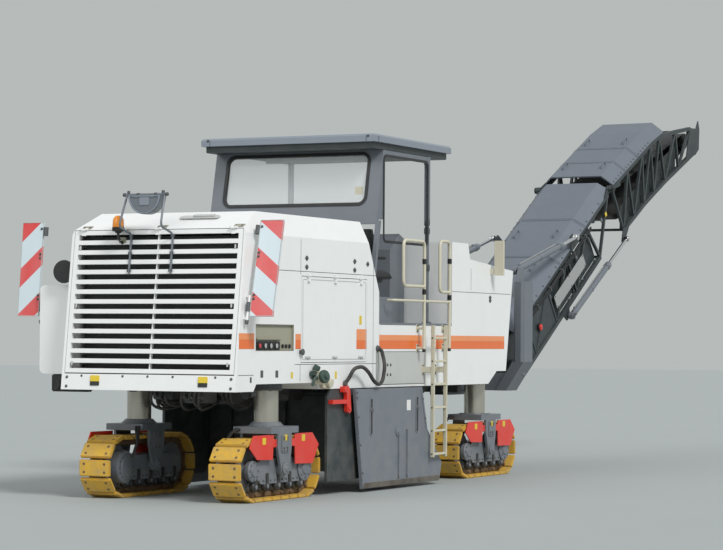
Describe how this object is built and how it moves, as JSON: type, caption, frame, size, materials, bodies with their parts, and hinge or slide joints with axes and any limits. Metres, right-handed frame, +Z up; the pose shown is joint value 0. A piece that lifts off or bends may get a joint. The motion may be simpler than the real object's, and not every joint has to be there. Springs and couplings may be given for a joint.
{
  "type": "cold planer milling machine",
  "caption": "Tracked cold planer for road milling: engine hood, drum box, canopy and a slewing, luffing and folding discharge conveyor on lifting columns.",
  "frame": {"origin": "middle of the machine's box on the ground, at the undersides of the track shoes", "axes": "+X forward towards the discharge conveyor, +Y to the machine's left, +Z up"},
  "size_m": [14.5176, 3.232, 5.0643],
  "materials": {
    "white_paint": "satin, lightly soiled",
    "slate_paint": "satin slate grey",
    "dark_frame": "satin near-black green grey",
    "track_yellow": "worn yellow with rusty chain",
    "guard_red": "satin red orange",
    "column_steel": "ground steel, oiled",
    "rod_chrome": "polished",
    "drum_steel": "worn steel",
    "cover_grey": "satin grey sheet",
    "belt_rubber": "matt rubber",
    "seat_black": "matt black",
    "rail_cream": "satin cream",
    "radiator_black": "matt black core",
    "engine_grey": "matt grey",
    "board_stripes": "red and white reflective stripes"
  },
  "bodies": {
    "chassis": {"chassis_frame": "dark_frame", "slewing_bracket": "dark_frame", "engine_hood": "white_paint", "engine_block": "engine_grey", "radiator": "radiator_black", "left_tank": "white_paint", "front_body": "white_paint", "platform": "white_paint", "seats": "seat_black", "console": "slate_paint", "canopy_roof": "slate_paint", "canopy_frame": "slate_paint", "handrails": "rail_cream", "ladder": "rail_cream", "drum_housing": "dark_frame", "gate_lock": "guard_red", "collecting_conveyor": "dark_frame", "lamp_panels": "rail_cream"},
    "leg_rear_right": {"column_rear_right": "column_steel"},
    "track_rear_right": {"track_loop_rear_right": "track_yellow", "track_frame_rear_right": "slate_paint", "track_covers_rear_right": "guard_red"},
    "leg_rear_left": {"column_rear_left": "column_steel"},
    "track_rear_left": {"track_loop_rear_left": "track_yellow", "track_frame_rear_left": "slate_paint", "track_covers_rear_left": "guard_red"},
    "leg_front_right": {"column_front_right": "column_steel"},
    "track_front_right": {"track_loop_front_right": "track_yellow", "track_frame_front_right": "slate_paint", "track_covers_front_right": "guard_red"},
    "leg_front_left": {"column_front_left": "column_steel"},
    "track_front_left": {"track_loop_front_left": "track_yellow", "track_frame_front_left": "slate_paint", "track_covers_front_left": "guard_red"},
    "drum": {"milling_drum": "drum_steel"},
    "scraper": {"scraper": "dark_frame"},
    "side_plate_right": {"side_plate_right": "slate_paint"},
    "side_plate_left": {"side_plate_left": "slate_paint"},
    "grille_door": {"grille_door": "white_paint", "rear_lamp_frame": "slate_paint"},
    "service_door": {"service_door": "white_paint"},
    "hazard_board_right": {"hazard_board_right": "board_stripes"},
    "hazard_board_left": {"hazard_board_left": "board_stripes"},
    "slewing_yoke": {"slewing_yoke": "slate_paint"},
    "slewing_barrel": {"slewing_barrel": "slate_paint"},
    "slewing_rod": {"slewing_rod": "rod_chrome"},
    "conveyor_lower": {"conveyor_lower_section": "dark_frame", "conveyor_lower_cover": "cover_grey", "conveyor_lower_belt": "belt_rubber"},
    "conveyor_tip": {"conveyor_tip_section": "dark_frame", "conveyor_tip_cover": "cover_grey", "conveyor_tip_belt": "belt_rubber"},
    "luffing_barrel": {"luffing_barrel": "slate_paint"},
    "luffing_rod": {"luffing_rod": "rod_chrome"},
    "folding_barrel": {"folding_barrel": "slate_paint"},
    "folding_rod": {"folding_rod": "rod_chrome"}
  },
  "joints": [
    {"name": "lift_rear_right", "type": "slide", "parent": "chassis", "child": "leg_rear_right", "axis": [0, 0, 1], "range_m": [0, 0.25]},
    {"name": "lift_rear_left", "type": "slide", "parent": "chassis", "child": "leg_rear_left", "axis": [0, 0, 1], "range_m": [0, 0.25]},
    {"name": "lift_front_right", "type": "slide", "parent": "chassis", "child": "leg_front_right", "axis": [0, 0, 1], "range_m": [0, 0.25]},
    {"name": "lift_front_left", "type": "slide", "parent": "chassis", "child": "leg_front_left", "axis": [0, 0, 1], "range_m": [0, 0.25]},
    {"name": "steer_rear_right", "type": "hinge", "parent": "leg_rear_right", "child": "track_rear_right", "pos_m": [-6.0655, -1.015, 0.7], "axis": [0, 0, 1], "range_deg": [-20, 20]},
    {"name": "steer_rear_left", "type": "hinge", "parent": "leg_rear_left", "child": "track_rear_left", "pos_m": [-6.0655, 0.545, 0.7], "axis": [0, 0, 1], "range_deg": [-20, 20]},
    {"name": "steer_front_right", "type": "hinge", "parent": "leg_front_right", "child": "track_front_right", "pos_m": [-0.6655, -1.015, 0.7], "axis": [0, 0, 1], "range_deg": [-20, 20]},
    {"name": "steer_front_left", "type": "hinge", "parent": "leg_front_left", "child": "track_front_left", "pos_m": [-0.6655, 0.545, 0.7], "axis": [0, 0, 1], "range_deg": [-20, 20]},
    {"name": "drum_spin", "type": "hinge", "parent": "chassis", "child": "drum", "pos_m": [-3.4655, -0.235, 0.62], "axis": [0, 1, 0], "continuous": true},
    {"name": "scraper_swing", "type": "hinge", "parent": "chassis", "child": "scraper", "pos_m": [-4.1555, -0.235, 1.08], "axis": [0, 1, 0], "range_deg": [0, 60]},
    {"name": "side_plate_right_lift", "type": "slide", "parent": "chassis", "child": "side_plate_right", "axis": [0, 0, 1], "range_m": [0, 0.2]},
    {"name": "side_plate_left_lift", "type": "slide", "parent": "chassis", "child": "side_plate_left", "axis": [0, 0, 1], "range_m": [0, 0.2]},
    {"name": "grille_door_lift", "type": "hinge", "parent": "chassis", "child": "grille_door", "pos_m": [-7.00939, -0.235, 2.81167], "axis": [0, 1, 0], "range_deg": [0, 50]},
    {"name": "service_door_lift", "type": "hinge", "parent": "chassis", "child": "service_door", "pos_m": [-5.0155, -1.295, 2.359], "axis": [-1, 0, 0], "range_deg": [0, 80]},
    {"name": "hazard_board_right_fold", "type": "hinge", "parent": "chassis", "child": "hazard_board_right", "pos_m": [-7.0355, -1.32, 1.91], "axis": [0.225, 0, 0.9744], "range_deg": [0, 80]},
    {"name": "hazard_board_left_fold", "type": "hinge", "parent": "chassis", "child": "hazard_board_left", "pos_m": [-6.8155, 1.32, 1.91], "axis": [0.0872, 0, 0.9962], "range_deg": [-80, 0]},
    {"name": "conveyor_slew", "type": "hinge", "parent": "chassis", "child": "slewing_yoke", "pos_m": [0.7345, -0.235, 1.15], "axis": [0, 0, 1], "range_deg": [-45.7, 54.3]},
    {"name": "conveyor_luff", "type": "hinge", "parent": "slewing_yoke", "child": "conveyor_lower", "pos_m": [1.03366, -0.25749, 1.35], "axis": [-0.075, -0.9972, 0], "range_deg": [-20, 10]},
    {"name": "conveyor_fold", "type": "hinge", "parent": "conveyor_lower", "child": "conveyor_tip", "pos_m": [4.02544, -0.48245, 3.84927], "axis": [0.075, 0.9972, 0], "range_deg": [0, 50]},
    {"name": "luffing_barrel_pitch", "type": "hinge", "parent": "slewing_yoke", "child": "luffing_barrel", "pos_m": [0.96385, -0.25224, 2.6], "axis": [-0.075, -0.9972, 0], "range_deg": [-30, 20]},
    {"name": "luffing_rod_stroke", "type": "slide", "parent": "luffing_barrel", "child": "luffing_rod", "axis": [0.9596, -0.0722, 0.272], "range_m": [-0.3, 0.5]},
    {"name": "folding_barrel_pitch", "type": "hinge", "parent": "conveyor_lower", "child": "folding_barrel", "pos_m": [2.68573, -0.38171, 2.03261], "axis": [-0.075, -0.9972, 0], "range_deg": [-15, 15]},
    {"name": "folding_rod_stroke", "type": "slide", "parent": "folding_barrel", "child": "folding_rod", "axis": [0.8425, -0.0633, 0.535], "range_m": [-0.75, 0.05]},
    {"name": "slewing_barrel_yaw", "type": "hinge", "parent": "chassis", "child": "slewing_barrel", "pos_m": [-0.4155, -0.565, 1.31], "axis": [0, 0, 1], "range_deg": [-15, 15]},
    {"name": "slewing_rod_stroke", "type": "slide", "parent": "slewing_barrel", "child": "slewing_rod", "axis": [1, 0.0008, 0], "range_m": [-0.4, 0.4]}
  ],
  "couplings": [
    {"joint": "steer_front_left", "follows": "steer_front_right", "ratio": 1},
    {"joint": "steer_rear_left", "follows": "steer_rear_right", "ratio": 1},
    {"joint": "luffing_barrel_pitch", "follows": "conveyor_luff", "ratio": 1.0679},
    {"joint": "luffing_rod_stroke", "follows": "conveyor_luff", "m_per_rad": -1.2376},
    {"joint": "folding_barrel_pitch", "follows": "conveyor_fold", "ratio": 0.17565},
    {"joint": "folding_rod_stroke", "follows": "conveyor_fold", "m_per_rad": -0.72891},
    {"joint": "slewing_barrel_yaw", "follows": "conveyor_slew", "ratio": -0.00705},
    {"joint": "slewing_rod_stroke", "follows": "conveyor_slew", "m_per_rad": 0.30453}
  ]
}
